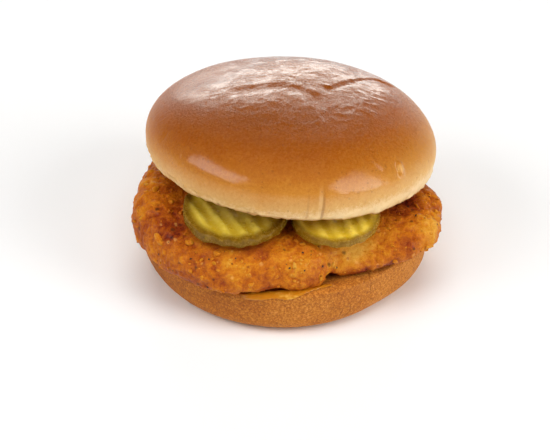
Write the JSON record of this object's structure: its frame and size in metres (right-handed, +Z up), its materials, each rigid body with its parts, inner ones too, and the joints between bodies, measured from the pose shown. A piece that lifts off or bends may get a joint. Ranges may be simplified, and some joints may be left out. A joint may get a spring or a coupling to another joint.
{
  "type": "chicken burger",
  "caption": "Chicken burger: breaded fillet and crinkle-cut pickle slices between a glossy domed crown and a flat heel, lying on its underside.",
  "frame": {"origin": "middle of the heel's flat underside, on the surface the burger rests on", "axes": "+Z up through the burger, -Y the front where the pickles show, +X to the right as seen from the front"},
  "size_m": [0.1171, 0.1181, 0.0703],
  "materials": {
    "heel_crust": "matte baked bread crust",
    "crown_crust": "buttered glossy bread crust",
    "fried_crumb": "oily fried breading",
    "pickle": "wet pickle"
  },
  "bodies": {
    "root": {"bun_heel": "heel_crust", "chicken_fillet": "fried_crumb", "pickle_left": "pickle", "pickle_right": "pickle", "bun_crown": "crown_crust"}
  },
  "joints": []
}
